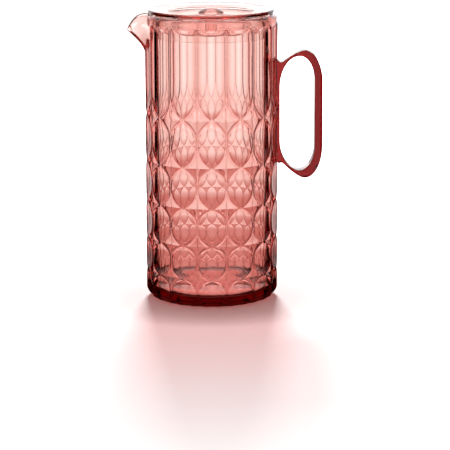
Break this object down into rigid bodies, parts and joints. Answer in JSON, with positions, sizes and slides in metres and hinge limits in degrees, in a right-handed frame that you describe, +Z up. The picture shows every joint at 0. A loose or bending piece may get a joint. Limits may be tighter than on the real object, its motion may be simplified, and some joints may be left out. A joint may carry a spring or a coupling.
{
  "type": "water carafe",
  "caption": "Tall transparent fluted water carafe with a beak spout, a closed loop handle and a lift-off lid whose deep bowl holds a mushroom knob.",
  "frame": {"origin": "centre of the flat base, on the carafe's axis", "axes": "+Z up along the carafe's axis, +X towards the handle, -X towards the spout"},
  "size_m": [0.1665, 0.1132, 0.25],
  "materials": {
    "body_plastic": "polished transparent coral",
    "handle_plastic": "polished transparent red",
    "lid_plastic": "polished transparent coral",
    "knob_plastic": "polished transparent coral"
  },
  "bodies": {
    "carafe": {"carafe_body": "body_plastic", "handle": "handle_plastic"},
    "lid": {"lid": "lid_plastic", "lid_knob": "knob_plastic"}
  },
  "joints": [
    {"name": "lid_lift", "type": "slide", "parent": "carafe", "child": "lid", "axis": [0, 0, 1], "range_m": [0, 0.12]}
  ]
}
